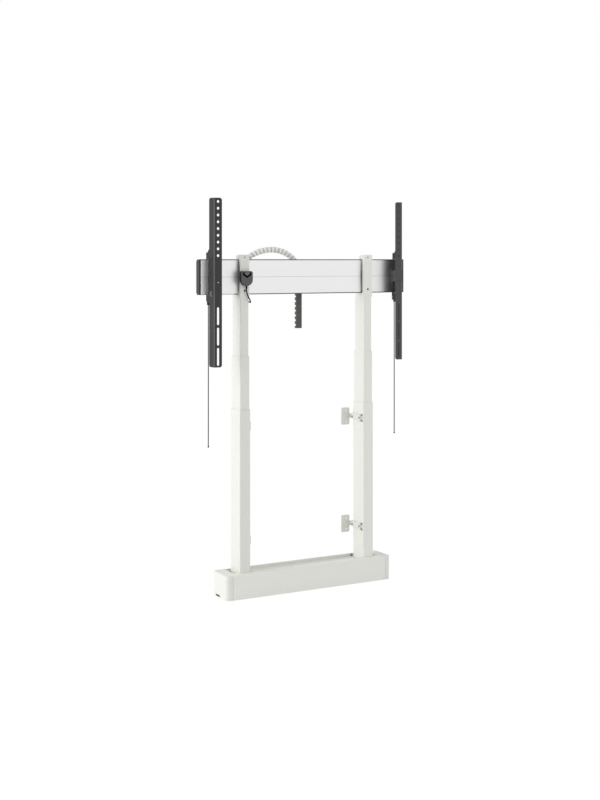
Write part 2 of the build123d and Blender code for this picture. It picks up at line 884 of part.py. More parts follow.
with BuildPart() as bracket_screws:
    for side, sign in SIDES:
        for z in bracket_heights:
            for place, metal in bracket_screw_places(z):
                seat = tube_face - metal
                pin("x", place, span(sign, tube_face + tube_wall, seat), bracket_screw_radius)
                pin("x", place, span(sign, seat, seat - bracket_screw_head), bracket_screw_head_radius)
keep(bracket_screws, "bracket_screws")

# Threaded rods between the brackets and the wall plates, each with its nut at the plate
with BuildPart() as bracket_rods:
    for side, sign in SIDES:
        for z in bracket_heights:
            pin("y", (sign * rod_x, z), (bracket_back_y - rod_depth, wall_y), rod_radius)
            with BuildSketch(Plane.XZ.offset(wall_plate_wall - wall_y)):
                with Locations((sign * rod_x, z)):
                    RegularPolygon(nut_radius, 6, rotation=hex_turn)
            extrude(amount=nut_length)
keep(bracket_rods, "bracket_rods")

with BuildPart() as wall_plates:
    for side, sign in SIDES:
        for z in bracket_heights:
            with BuildSketch(Plane.XZ.offset(-wall_y)):
                with Locations((sign * (wall_plate_inner + wall_plate_width / 2), z)):
                    RectangleRounded(wall_plate_width, wall_plate_height, wall_plate_corner)
                with Locations((sign * (wall_plate_inner + wall_plate_width), z)):
                    Rectangle(2 * wall_ear_reach, wall_ear_height)
                with Locations(
                    (sign * (wall_plate_inner + wall_hole_inset), z - wall_hole_spacing / 2),
                    (sign * (wall_plate_inner + wall_hole_inset), z + wall_hole_spacing / 2),
                ):
                    Circle(wall_hole_radius, mode=Mode.SUBTRACT)
                with Locations((sign * rod_x, z)):
                    Circle(rod_radius + screw_clearance, mode=Mode.SUBTRACT)
            extrude(amount=wall_plate_wall)
keep(wall_plates, "wall_plates")

# Saddles in the tops of the upper tubes: the rail sits on them
with BuildPart() as rail_saddles:
    for side, sign in SIDES:
        with BuildSketch(Plane.XY.offset(rail_bottom - saddle_drop)):
            with Locations((sign * column_x, column_y)):
                RectangleRounded(upper_width - 2 * tube_wall, upper_depth - 2 * tube_wall, tube_corner - tube_wall)
        extrude(amount=tongue_top - rail_bottom + saddle_drop)
    block(
        (-total_depth - column_x, column_x + total_depth),
        (front_y, rail_back_y + tongue_gap),
        (rail_bottom, tongue_top + overrun),
        Mode.SUBTRACT,
    )
    pin(
        "z",
        (-column_x, hose_y),
        (rail_bottom - saddle_drop - overrun, tongue_top + overrun),
        hose_bore_radius,
        Mode.SUBTRACT,
    )
keep(rail_saddles, "rail_saddles")

# Clamps between the heads and the rail: a bow on the outer side, a web across at the band
with BuildPart() as head_clamps:
    for side, sign in SIDES:
        with BuildSketch(Plane.YZ.offset(sign * (column_x - clamp_web))):
            add_bow(rail_front_y, rail_bottom + clamp_inset, rail_top - clamp_inset, bow_depth)
        extrude(amount=sign * (clamp_web + clamp_half))
        block(
            span(sign, column_x - clamp_half, column_x),
            (rail_front_y - bow_depth, rail_front_y),
            (rail_middle - band_height / 2, rail_middle + band_height / 2),
        )
        pin(
            "y",
            (sign * column_x, rail_bottom + low_hole_rise),
            (head_front_y, rail_front_y + overrun),
            bolt_radius + screw_clearance,
            Mode.SUBTRACT,
        )
keep(head_clamps, "head_clamps")

with BuildPart() as head_screws:
    for side, sign in SIDES:
        low = (sign * column_x, rail_bottom + low_hole_rise)
        high = (sign * column_x, head_top - top_hole_drop)
        bolt_start = head_front_y + set_screw_recess
        for place, sizes in (
            (low, ((bolt_head_length, bolt_head_radius), (rail_front_y - bolt_start, bolt_radius))),
            (high, ((set_screw_length, top_hole_radius - running_gap),)),
        ):
            for length, radius in sizes:
                pin("y", place, (bolt_start, bolt_start + length), radius)
            with BuildSketch(Plane.XZ.offset(-bolt_start - hex_depth)):
                with Locations(place):
                    RegularPolygon(sizes[0][1] * hex_share, 6)
            extrude(amount=hex_depth, mode=Mode.SUBTRACT)
keep(head_screws, "head_screws")

# Rail: one extruded section with chambers, hook slots and slots in its back
with BuildPart() as rail:
    with BuildSketch(Plane.YZ.offset(-rail_half)) as section:
        with Locations((rail_front_y + rail_depth / 2, rail_middle)):
            Rectangle(rail_depth, rail_height)
        fillet(section.vertices().sort_by(Axis.X)[:2], rail_corner)
        chamfer(section.vertices().sort_by(Axis.X)[-2:], rail_chamfer)
        with Locations((rail_front_y, rail_middle)):
            Rectangle(2 * band_depth, band_height, mode=Mode.SUBTRACT)
        with Locations((rail_front_y + band_depth, rail_middle)):
            Rectangle(2 * line_depth, line_width, mode=Mode.SUBTRACT)
        for way in (-1, 1):
            end_z = rail_middle + way * rail_height / 2
            back_slot_z = rail_middle + way * back_slot_offset
            with Locations((rail_front_y, end_z - way * edge_line_inset)):
                Rectangle(2 * line_depth, line_width, mode=Mode.SUBTRACT)
            with Locations((slot_y, end_z)):
                Rectangle(hook_slot_width, 2 * hook_slot_depth, mode=Mode.SUBTRACT)
            with Locations((rail_back_y, back_slot_z)):
                Rectangle(2 * back_slot_depth, back_slot_width, mode=Mode.SUBTRACT)
            with Locations((rail_back_y - back_slot_depth - back_slot_room_depth / 2, back_slot_z)):
                Rectangle(back_slot_room_depth, back_slot_room, mode=Mode.SUBTRACT)
            cut_rectangle(
                (rail_front_y + rail_wall, rail_back_y - back_slot_depth - back_slot_room_depth - rail_wall),
                (rail_middle + way * (chamber_half + rail_wall), end_z - way * (hook_slot_depth + rail_wall)),
            )
            cut_rectangle(
                (rail_front_y + rail_wall, slot_y - hook_slot_width / 2 - rail_wall),
                (end_z - way * (hook_slot_depth + 2 * rail_wall), end_z - way * rail_wall),
            )
        cut_rectangle(
            (rail_front_y + band_depth + rail_wall, rail_back_y - rail_wall),
            (rail_middle - chamber_half, rail_middle + chamber_half),
        )
    extrude(amount=2 * rail_half)
keep(rail, "rail")

# Rail: plastic end caps with the shape of the section, plugged into the middle chamber
with BuildPart() as rail_caps:
    for side, sign in SIDES:
        with BuildSketch(Plane.YZ.offset(sign * rail_half)) as outline:
            with Locations((rail_front_y + rail_depth / 2, rail_middle)):
                Rectangle(rail_depth - 2 * rail_cap_inset, rail_height - 2 * rail_cap_inset)
            chamfer(outline.vertices().sort_by(Axis.X)[-2:], rail_chamfer)
            fillet(outline.vertices().sort_by(Axis.X)[:2], rail_corner)
        extrude(amount=sign * rail_cap_length)
        block(
            span(sign, rail_half, rail_half - rail_cap_plug),
            (rail_front_y + band_depth + rail_wall + screw_clearance, rail_back_y - rail_wall - screw_clearance),
            (rail_middle - chamber_half + screw_clearance, rail_middle + chamber_half - screw_clearance),
        )
keep(rail_caps, "rail_caps")

# Ribbed cable hose from the left column over the rail to the duct
with BuildPart() as cable_hose:
    pitch = hose_length / hose_rib_count
    stations = [(0, hose_valley_radius)]
    for index in range(hose_rib_count):
        radii = (hose_valley_radius, hose_radius, hose_radius, hose_valley_radius)
        stations += [((index + share) * pitch, radius) for share, radius in zip(rib_shares, radii)]
    stations.append((hose_length, hose_valley_radius))
    for run, radius in stations:
        with BuildSketch(hose_plane(run)):
            Circle(radius)
    loft(ruled=True)
    with BuildLine() as hose_line:
        done = 0
        for length, radius in hose_runs:
            places = [hose_plane(done + share * length).origin for share in arc_shares]
            if radius:
                ThreePointArc(*places)
            else:
                Line(places[0], places[-1])
            done += length
    with BuildSketch(hose_plane(0)):
        Circle(hose_bore_radius)
    sweep(path=hose_line.wire(), mode=Mode.SUBTRACT)
keep(cable_hose, "cable_hose")

# Collars that hold the ends of the hose, on the left column and on the duct
with BuildPart() as hose_collars:
    block(
        (-column_x - upper_width / 2, -column_x + upper_width / 2),
        (rail_back_y + tongue_gap, column_y + upper_depth / 2),
        (tongue_top, tongue_top + collar_base),
    )
    block(
        (duct_x - hose_radius - collar_wall, duct_x + hose_radius + collar_wall),
        (hose_y - hose_radius - collar_wall, hose_y + hose_radius + collar_wall),
        (duct_top, duct_top + collar_base),
    )
    for x, z in ((-column_x, tongue_top), (duct_x, duct_top)):
        pin("z", (x, hose_y), (z, z + collar_height), hose_radius + collar_wall)
        pin(
            "z",
            (x, hose_y),
            (z + collar_base, z + collar_height + overrun),
            hose_radius + screw_clearance,
            Mode.SUBTRACT,
        )
        pin("z", (x, hose_y), (z - overrun, z + collar_height), duct_depth / 2 - duct_wall, Mode.SUBTRACT)
keep(hose_collars, "hose_collars")

# Slotted cable duct hanging behind the rail, and the post that carries it
with BuildPart() as cable_duct:
    block((duct_x - duct_width / 2, duct_x + duct_width / 2), (duct_y, duct_y + duct_depth), (duct_bottom, duct_top))
    block(
        (duct_x - duct_width / 2 + duct_wall, duct_x + duct_width / 2 - duct_wall),
        (duct_y + duct_wall, duct_y + duct_depth + overrun),
        (duct_bottom - overrun, duct_top + overrun),
        Mode.SUBTRACT,
    )
    for index in range(int((duct_top - duct_bottom) // duct_slot_pitch)):
        z = duct_bottom + (index + 1) * duct_slot_pitch - duct_slot_width
        block(
            (duct_x - duct_width, duct_x + duct_width),
            (duct_y + duct_depth - duct_slot_depth, duct_y + duct_depth + overrun),
            (z - duct_slot_width / 2, z + duct_slot_width / 2),
            Mode.SUBTRACT,
        )
keep(cable_duct, "cable_duct")

with BuildPart() as duct_post:
    post_z = rail_middle - back_slot_offset
    post_x = (duct_x - duct_post_width / 2, duct_x + duct_post_width / 2)
    neck = back_slot_width / 2 - screw_clearance
    head = back_slot_room / 2 - screw_clearance
    neck_y = rail_back_y - back_slot_depth
    block(post_x, (rail_back_y, duct_y), (post_z - duct_post_height / 2, post_z + duct_post_height / 2))
    block(post_x, (neck_y - screw_clearance, rail_back_y), (post_z - neck, post_z + neck))
    block(
        post_x,
        (neck_y - back_slot_room_depth + screw_clearance, neck_y - screw_clearance),
        (post_z - head, post_z + head),
    )
keep(duct_post, "duct_post")

# Handset on the left head: holder, body with two button wells, buttons, cable
with BuildPart() as handset_holder:
    block(
        (handset_x - holder_width / 2, handset_x + holder_width / 2),
        (head_front_y - holder_wall, head_front_y),
        (handset_middle - holder_height / 2, handset_middle + holder_height / 2),
    )
keep(handset_holder, "handset_holder")

with BuildPart() as handset_body:
    with BuildSketch(Plane.XZ.offset(-handset_back_y)) as outline:
        with Locations((handset_x, handset_middle)):
            Rectangle(handset_width, handset_height)
        fillet(outline.vertices().sort_by(Axis.Y)[:2], handset_round)
        fillet(outline.vertices().sort_by(Axis.Y)[-2:], handset_corner)
    extrude(amount=handset_depth)
    fillet(handset_body.faces().sort_by(Axis.Y)[0].edges(), handset_edge)
    for name in BUTTONS:
        with BuildSketch(Plane.XZ.offset(-handset_front_y)):
            add_button(name, button_gap)
        extrude(amount=-(button_depth - button_proud + button_travel + button_gap), mode=Mode.SUBTRACT)
keep(handset_body, "handset_body")

for name in BUTTONS:
    with BuildPart() as button:
        with BuildSketch(Plane.XZ.offset(-handset_front_y + button_proud)):
            add_button(name, 0)
        extrude(amount=-button_depth)
        chamfer(button.faces().sort_by(Axis.Y)[0].edges(), button_proud / 3)
    keep(button, name)

with BuildPart() as handset_boot:
    for z, radius in ((handset_bottom, boot_top_radius), (handset_bottom - boot_length, boot_end_radius)):
        with BuildSketch(Plane.XY.offset(z)):
            with Locations((cable_x, cable_y)):
                Circle(radius)
    loft()
keep(handset_boot, "handset_boot")

with BuildPart() as handset_cable:
    corner_radii = []
    for before, here, after in zip(cable_points, cable_points[1:], cable_points[2:]):
        back, ahead = Vector(*before) - Vector(*here), Vector(*after) - Vector(*here)
        half_turn = radians(180 - back.get_angle(ahead)) / 2
        corner_radii.append(bend_share * min(back.length, ahead.length) / tan(half_turn))
    print("handset cable radii", [round(radius, 1) for radius in corner_radii])
    with BuildLine() as route:
        FilletPolyline(*cable_points, radius=corner_radii)
    with BuildSketch(Plane(origin=cable_points[0], z_dir=(0, 0, -1))):
        Circle(handset_cable_radius)
    sweep(path=route.wire())
keep(handset_cable, "handset_cable")

with BuildPart() as cable_grommet:
    grommet_face = -column_x + upper_width / 2
    pin("x", (column_y, grommet_height), (grommet_face, grommet_face + grommet_length), grommet_radius)
    pin("x", (column_y, grommet_height), (grommet_face - tube_wall, grommet_face), grommet_neck - running_gap)
keep(cable_grommet, "cable_grommet")

# Display strips with their locks, one each side
for side, sign in SIDES:
    outer_x = strip_inner + strip_width
    flange_x = outer_x - strip_wall
    hook_back_y = front_y + hook_reach
    flange_y = front_y + strip_flange
    hook_top = rail_top + hook_rise
    hook_low = rail_bottom - hook_drop
    strip_middle = strip_bottom + strip_length / 2
    tip_y = hook_back_y - hook_tip_width / 2

    with BuildPart() as strip:
        with BuildSketch(Plane.XY.offset(strip_bottom)):
            with BuildLine() as fold:
                FilletPolyline(
                    (sign * strip_inner, front_y),
                    (sign * outer_x, front_y),
                    (sign * outer_x, flange_y),
                    radius=strip_bend,
                )
                offset(fold.line, amount=strip_wall, side=Side.LEFT if sign > 0 else Side.RIGHT)
            make_face()
        extrude(amount=strip_length)
        with BuildSketch(Plane.YZ.offset(min(span(sign, flange_x, outer_x)))):
            with BuildLine():
                Polyline(
                    (flange_y - strip_wall, hook_low - hook_chamfer),
                    (flange_y, hook_low - hook_chamfer),
                    (flange_y + hook_chamfer, hook_low),
                    (hook_back_y, hook_low),
                    (hook_back_y, hook_top),
                    (flange_y + hook_top_chamfer, hook_top),
                    (flange_y, hook_top + hook_top_chamfer),
                    (flange_y - strip_wall, hook_top + hook_top_chamfer),
                    close=True,
                )
            make_face()
        extrude(amount=strip_wall)
        block(
            span(sign, flange_x - overrun, outer_x + overrun),
            (rail_front_y - hook_gap, hook_back_y + overrun),
            (rail_bottom - hook_gap, rail_top + hook_gap),
            Mode.SUBTRACT,
        )
        block(
            span(sign, flange_x, outer_x),
            (hook_back_y - hook_tip_width, hook_back_y),
            (rail_top + hook_gap - hook_tip_drop, rail_top + hook_gap),
        )
        with BuildSketch(Plane.XZ.offset(-front_y)):
            for index in range(hole_count):
                with Locations((sign * hole_line, strip_bottom + strip_length - hole_top_margin - index * hole_pitch)):
                    Circle(hole_radius)
            for index in range(long_slot_count):
                with Locations((sign * hole_line, long_slot_first + index * long_slot_pitch)):
                    SlotOverall(long_slot_length, long_slot_width, rotation=90)
            with Locations((sign * hole_line, small_hole_height)):
                Circle(small_hole_radius)
        extrude(amount=-strip_wall - overrun, mode=Mode.SUBTRACT)
        inner_corners = strip.edges().filter_by(Axis.Y).filter_by(
            lambda e: abs(abs(e.center().X) - strip_inner) < edge_reach
        )
        back_corners = strip.edges().filter_by(Axis.X).filter_by(
            lambda e: abs(e.center().Y - flange_y) < edge_reach
            and abs(abs(e.center().Z - strip_middle) - strip_length / 2) < edge_reach
        )
        fillet(inner_corners + back_corners, strip_corner)
        pin(
            "x",
            (front_y + adjust_setback, adjust_height),
            span(sign, flange_x - overrun, outer_x + overrun),
            adjust_screw_radius + screw_clearance,
            Mode.SUBTRACT,
        )
    keep(strip, f"strip_{side}")

    # Pad that keeps the strip off the front of the rail
    with BuildPart() as rail_pad:
        block(
            span(sign, flange_x - pad_block_width, flange_x),
            (rail_front_y - pad_gap - pad_block_depth, rail_front_y - pad_gap),
            (rail_middle - pad_block_height / 2, rail_middle + pad_block_height / 2),
        )
        fillet(rail_pad.edges().filter_by(Axis.Z), pad_gap)
    keep(rail_pad, f"rail_pad_{side}")

    # Sliding lock plate on the inner face, its tip in the lower slot of the rail
    plate_x = span(sign, flange_x - lock_gap - lock_wall, flange_x - lock_gap)
    plate_bottom = lock_pin_height - lock_slot_width / 2 - lock_margin
    plate_top = rail_bottom - lock_top_gap
    lock_pins = [(front_y + y, lock_pin_height) for y in (lock_slot_front, lock_slot_back)]
    with BuildPart() as lock_plate:
        block(plate_x, (front_y + lock_front, hook_back_y), (plate_bottom, plate_top))
        block(
            plate_x,
            (tip_y - lock_tip_width / 2, tip_y + lock_tip_width / 2),
            (plate_top - lock_wall, rail_bottom + lock_tip_rise),
        )
        block(
            span(sign, flange_x - lock_gap - lock_wall, cord_x + lock_lug_width / 2),
            (cord_y - lock_lug_width / 2, cord_y + lock_lug_width / 2),
            (plate_bottom - lock_lug_height, plate_bottom + lock_lug_overlap),
        )
        for place in lock_pins:
            with BuildSketch(Plane.YZ.offset(plate_x[0] - overrun)):
                with Locations((place[0], place[1] + lock_travel / 2)):
                    SlotOverall(lock_travel + lock_slot_width, lock_slot_width, rotation=90)
            extrude(amount=lock_wall + 2 * overrun, mode=Mode.SUBTRACT)
    keep(lock_plate, f"lock_plate_{side}")

    # Headed pins that guide the lock, and the adjusting screw with its washer
    with BuildPart() as lock_fixings:
        head_x = flange_x - 2 * lock_gap - lock_wall
        for place in lock_pins:
            pin("x", place, span(sign, flange_x, head_x - lock_pin_head), lock_pin_radius)
            pin("x", place, span(sign, head_x, head_x - lock_pin_head), lock_pin_head_radius)
        place = (front_y + adjust_setback, adjust_height)
        pin("x", place, span(sign, flange_x - adjust_head, outer_x + adjust_washer), adjust_screw_radius)
        pin("x", place, span(sign, outer_x, outer_x + adjust_washer), adjust_washer_radius)
        with BuildSketch(Plane.YZ.offset(sign * (outer_x + adjust_washer))):
            with Locations(place):
                RegularPolygon(adjust_head_radius, 6)
        extrude(amount=sign * adjust_head)
    keep(lock_fixings, f"lock_fixings_{side}")

    # Pull cord hanging from the lock, with a knot at its end
    with BuildPart() as pull_cord:
        cord_place = (sign * cord_x, cord_y)
        pin("z", cord_place, (cord_end_height, plate_bottom - lock_lug_height), cord_radius)
        pin("z", cord_place, (cord_end_height, cord_end_height + knot_length), knot_radius)
        fillet(pull_cord.edges().filter_by(GeomType.CIRCLE).sort_by(Axis.Z)[:1], knot_radius / 2)
    keep(pull_cord, f"pull_cord_{side}")
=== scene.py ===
import json
import math

import bmesh
import bpy
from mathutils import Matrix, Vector


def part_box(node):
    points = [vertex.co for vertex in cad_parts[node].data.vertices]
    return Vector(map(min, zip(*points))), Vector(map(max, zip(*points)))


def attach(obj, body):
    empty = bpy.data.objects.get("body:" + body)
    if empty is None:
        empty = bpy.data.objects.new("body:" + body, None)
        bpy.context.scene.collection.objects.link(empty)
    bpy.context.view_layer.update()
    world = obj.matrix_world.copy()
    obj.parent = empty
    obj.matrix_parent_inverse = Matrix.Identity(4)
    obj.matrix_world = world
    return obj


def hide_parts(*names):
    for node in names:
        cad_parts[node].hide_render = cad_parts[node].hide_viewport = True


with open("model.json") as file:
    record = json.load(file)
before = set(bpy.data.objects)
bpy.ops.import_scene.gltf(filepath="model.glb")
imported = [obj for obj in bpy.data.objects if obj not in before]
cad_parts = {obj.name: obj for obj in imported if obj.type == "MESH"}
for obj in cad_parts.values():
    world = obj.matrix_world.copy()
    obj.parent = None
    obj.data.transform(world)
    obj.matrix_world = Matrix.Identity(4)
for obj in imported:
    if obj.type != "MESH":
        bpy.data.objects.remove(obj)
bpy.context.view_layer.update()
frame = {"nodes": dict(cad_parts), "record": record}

# Metres. X runs along the rail, Y from the front to the wall, Z up from the floor.

full_turn = 2 * math.pi


class Link:
    # One output of a node, with Python's own signs for its maths

    def __init__(self, nodes, socket):
        self.maths = nodes.maths
        self.socket = socket

    def __add__(self, other):
        return self.maths("ADD", self, other)

    def __radd__(self, other):
        return self.maths("ADD", other, self)

    def __sub__(self, other):
        return self.maths("SUBTRACT", self, other)

    def __rsub__(self, other):
        return self.maths("SUBTRACT", other, self)

    def __mul__(self, other):
        return self.maths("MULTIPLY", self, other)

    def __rmul__(self, other):
        return self.maths("MULTIPLY", other, self)

    def __gt__(self, other):
        return self.maths("GREATER_THAN", self, other)

    def __lt__(self, other):
        return self.maths("LESS_THAN", self, other)


class Nodes:
    # A node tree, emptied, and the one method that fills it

    def __init__(self, tree):
        self.tree = tree
        tree.nodes.clear()

    def add(self, kind, settings=None, inputs=None, output=0):
        # A node with its settings first, then the values or links of its sockets
        made = self.tree.nodes.new(kind)
        for key, value in (settings or {}).items():
            setattr(made, key, value)
        for key, value in (inputs or {}).items():
            if isinstance(value, Link):
                self.tree.links.new(value.socket, made.inputs[key])
            else:
                made.inputs[key].default_value = value
        return Link(self, made.outputs[output]) if len(made.outputs) else None

    def maths(self, operation, *terms):
        return self.add("ShaderNodeMath", {"operation": operation}, dict(enumerate(terms)))

    def is_ray(self, kinds):
        # 1 for a ray of one of these kinds, 0 for any other
        found = 0
        for kind in kinds:
            ray = self.add("ShaderNodeLightPath", output=f"Is {kind} Ray")
            found = self.maths("MAXIMUM", found, ray)
        return found


class Finish(Nodes):
    # One material of the object: its patterns follow the place on it, shade() makes the surface

    def __init__(self, name):
        self.material = bpy.data.materials.new(name)
        self.material.use_nodes = True
        super().__init__(self.material.node_tree)
        self.place = self.add("ShaderNodeTexCoord", output="Object")

    def axis(self, letter):
        # One coordinate of the place
        return self.add("ShaderNodeSeparateXYZ", None, {0: self.place}, output="XYZ".index(letter))

    def grain(self, size, stretch=(1, 1, 1), detail=2, seed=0):
        # Noise whose lumps are about size across, drawn out along an axis by stretch
        scale = tuple(1 / (size * share) for share in stretch)
        inputs = {"Vector": self.place, "Scale": scale, "Location": (seed, 0, 0)}
        spot = self.add("ShaderNodeMapping", None, inputs)
        return self.add("ShaderNodeTexNoise", None, {"Vector": spot, "Scale": 1, "Detail": detail})

    def blend(self, share, low, high):
        # Colour from low at a share of 0 to high at 1; 6, 7 and output 2 are the node's colour sockets
        ends = [tone if isinstance(tone, Link) else (*tone, 1) for tone in (low, high)]
        inputs = {0: share, 6: ends[0], 7: ends[1]}
        return self.add("ShaderNodeMix", {"data_type": "RGBA"}, inputs, output=2)

    def relief(self, height, depth):
        # Bump from a height between 0 and 1, depth metres deep
        return self.add("ShaderNodeBump", None, {"Height": height, "Distance": depth, "Strength": 1})

    def shade(self, colour, rough, bump, metal=0.0, spec=0.5):
        inputs = {
            "Base Color": colour,
            "Roughness": rough,
            "Normal": bump,
            "Metallic": metal,
            "Specular IOR Level": spec,
        }
        surface = self.add("ShaderNodeBsdfPrincipled", None, inputs)
        self.add("ShaderNodeOutputMaterial", None, {"Surface": surface})
        return self.material


def grey(level):
    return level, level, level


def shades(colour, spread):
    # A colour made a little darker and a little lighter
    return tuple(c * (1 - spread) for c in colour), tuple(min(c * (1 + spread), 1) for c in colour)


def mixed(first, second, share):
    # Two patterns in one, the first with this share
    return first * share + second * (1 - share)


def uneven(middle, pattern, swing):
    # A value that wavers round its middle as a pattern between 0 and 1 does
    return middle - swing / 2 + pattern * swing


def powder_coat(name, colour, peel_size=0.0007, rough=0.42, spread=0.02):
    # Baked powder on sheet steel: fine orange peel, faint clouds in tone and gloss
    cloud_size, speck_size, peel_depth = 0.09, peel_size * 0.4, 0.00003
    finish = Finish(name)
    peel = finish.grain(peel_size)
    clouds = finish.grain(cloud_size, detail=3, seed=4)
    specks = finish.grain(speck_size, detail=1, seed=9)
    return finish.shade(
        colour=finish.blend(mixed(clouds, specks, share=0.7), *shades(colour, spread)),
        rough=uneven(rough, clouds, swing=0.1),
        bump=finish.relief(peel, peel_depth),
    )


def moulding(name, colour, pit_size=0.0005, pit_depth=0.00004, rough=0.5, spread=0.05, spec=0.5):
    # Moulded plastic or rubber: spark-eroded grain and a slightly uneven gloss
    flow_size, flow_stretch = 0.03, (3, 1, 1)
    finish = Finish(name)
    pits = finish.grain(pit_size, detail=3, seed=2)
    flow = finish.grain(flow_size, stretch=flow_stretch, seed=7)
    return finish.shade(
        colour=finish.blend(mixed(flow, pits, share=0.6), *shades(colour, spread)),
        rough=uneven(rough, flow, swing=0.12),
        bump=finish.relief(pits, pit_depth),
        spec=spec,
    )


def bare_metal(name, colour, rough=0.3, stretch=(1, 1, 1), spread=0.06, mark_depth=0.00001):
    # Turned, plated or cast metal: fine tool marks drawn out by stretch
    mark_size, stain_size = 0.0006, 0.02
    finish = Finish(name)
    marks = finish.grain(mark_size, stretch=stretch, detail=3, seed=1)
    stains = finish.grain(stain_size, detail=3, seed=5)
    return finish.shade(
        colour=finish.blend(mixed(marks, stains, share=0.5), *shades(colour, spread)),
        rough=uneven(rough, stains, swing=0.1),
        bump=finish.relief(marks, mark_depth),
        metal=1.0,
    )


def rail_metal(name):
    # Anodised extrusion, die lines along X; painted shade on its long edges and at mid-height
    line_size, line_depth, band_size, haze_size = 0.0005, 0.000004, 0.004, 0.12
    line_share, band_share, haze_share = 0.35, 0.3, 0.35
    edge_shade_height, edge_shade_colour = 0.0035, (0.07, 0.07, 0.068)
    faint_left, faint_share = -0.31, 0.3
    mid_shade_width, mid_shade_colour, mid_shade_share = 0.002, grey(0.05), 0.28
    (_, _, bottom), (_, _, top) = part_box("rail")
    middle = (bottom + top) / 2
    finish = Finish(name)
    lines = finish.grain(line_size, stretch=(300, 1, 1))
    bands = finish.grain(band_size, stretch=(120, 1, 1), seed=3)
    haze = finish.grain(haze_size, seed=8)
    height = finish.axis("Z")
    # Painted shade along the top and bottom edges, the lower band faint at its left
    low_shade_fading = faint_share + (finish.axis("X") > faint_left) * (1 - faint_share)
    low_edge_shade = (height < bottom + edge_shade_height) * low_shade_fading
    edge_shade = (height > top - edge_shade_height) + low_edge_shade
    # Painted shade: a thin dark line at mid-height
    mid_shade = (height > middle - mid_shade_width / 2) * (height < middle + mid_shade_width / 2) * mid_shade_share
    streaks = lines * line_share + bands * band_share + haze * haze_share
    tone = finish.blend(streaks, grey(0.83), grey(0.89))
    return finish.shade(
        colour=finish.blend(edge_shade, finish.blend(mid_shade, tone, mid_shade_colour), edge_shade_colour),
        rough=uneven(0.40, bands, swing=0.06),
        bump=finish.relief(lines, line_depth),
        metal=1.0 - edge_shade,
    )


def ribbed_plastic(name, crest, valley):
    # Hose plastic: pale crests and painted shade in the valleys, told apart by the swell that the ribs
    # carry
    pit_size, pit_depth, pit_share = 0.0008, 0.00004, 0.1
    valley_swell, crest_swell = 0.1, 0.45
    finish = Finish(name)
    swell = finish.add("ShaderNodeAttribute", {"attribute_name": "swell"}, output="Fac")
    pits = finish.grain(pit_size)
    ends = {"Value": swell + pits * pit_share, "From Min": valley_swell, "From Max": crest_swell}
    return finish.shade(
        # Painted shade: the valleys take the darker colour
        colour=finish.blend(finish.add("ShaderNodeMapRange", None, ends), valley, crest),
        rough=uneven(0.40, pits, swing=0.08),
        bump=finish.relief(pits, pit_depth),
    )


def handset_moulding(name, face, side):
    # Handset whose front is grey and whose sides, from face_depth behind it, are dark
    face_depth, pit_size, pit_depth, wear_size = 0.0015, 0.0006, 0.00005, 0.012
    (_, front, _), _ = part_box("handset_body")
    finish = Finish(name)
    pits = finish.grain(pit_size, detail=3, seed=2)
    wear = finish.grain(wear_size, detail=3, seed=6)
    worn = finish.blend(mixed(wear, pits, share=0.7), *shades(face, spread=0.16))
    return finish.shade(
        colour=finish.blend(finish.axis("Y") > front + face_depth, worn, side),
        rough=uneven(0.65, wear, swing=0.1),
        bump=finish.relief(pits, pit_depth),
        spec=0.25,
    )


def strip_coat_and_painted_light(name):
    # Black powder coat of the display strips; painted light and shade on face, outer side, fold, inner
    # faces
    peel_size, peel_depth, cloud_size = 0.0009, 0.00009, 0.05
    skin, bend_size, inner_side, inner_face = 0.0005, 0.003, 0.0015, 0.0023
    left_shaded_tone, right_lit_tone = (0.021, 0.021, 0.022), (0.053, 0.053, 0.054)
    side_shade_tone, bend_highlight_tone, inside_shade_tone = grey(0.012), grey(0.11), grey(0.007)
    (outer, front, _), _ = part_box("strip_left")
    finish = Finish(name)
    peel = finish.grain(peel_size)
    clouds = finish.grain(cloud_size, detail=3, seed=4)
    across, depth = finish.axis("X"), finish.axis("Y")
    # Painted shade: the outer side face of the left strip is darker
    side = across < outer + skin
    # Painted highlight: a light line along the left strip's outer fold
    bend_highlight = (across < outer + bend_size) * (depth < front + bend_size)
    # Painted shade: the inner faces of both strips are near black
    inside_shade = (finish.maths("ABSOLUTE", across) < -outer - inner_side) * (depth > front + inner_face)
    # Painted light: the right strip's face is lighter than the left's
    tone = finish.blend(across > 0, left_shaded_tone, right_lit_tone)
    tone = finish.blend(side, tone, side_shade_tone)
    tone = finish.blend(bend_highlight, tone, bend_highlight_tone)
    tone = finish.blend(inside_shade, tone, inside_shade_tone)
    return finish.shade(
        colour=tone,
        rough=uneven(0.57, clouds, swing=0.1),
        bump=finish.relief(peel, peel_depth),
    )


def clamp_plastic_and_painted_light(name):
    # Clamp between head and rail: on the right, painted light makes it paler above and below its web
    web_bottom, web_top, pit_size, pit_depth = 1.182, 1.227, 0.0006, 0.00004
    web_tone, clamp_lit_tone = (0.13, 0.13, 0.12), (0.42, 0.42, 0.40)
    finish = Finish(name)
    pits = finish.grain(pit_size, detail=3, seed=2)
    height = finish.axis("Z")
    web = (height > web_bottom) * (height < web_top)
    # Painted light: the right clamp is paler above and below its web
    pale = (finish.axis("X") > 0) * (1 - web)
    return finish.shade(
        colour=finish.blend(pale, web_tone, clamp_lit_tone),
        rough=uneven(0.55, pits, swing=0.1),
        bump=finish.relief(pits, pit_depth),
    )


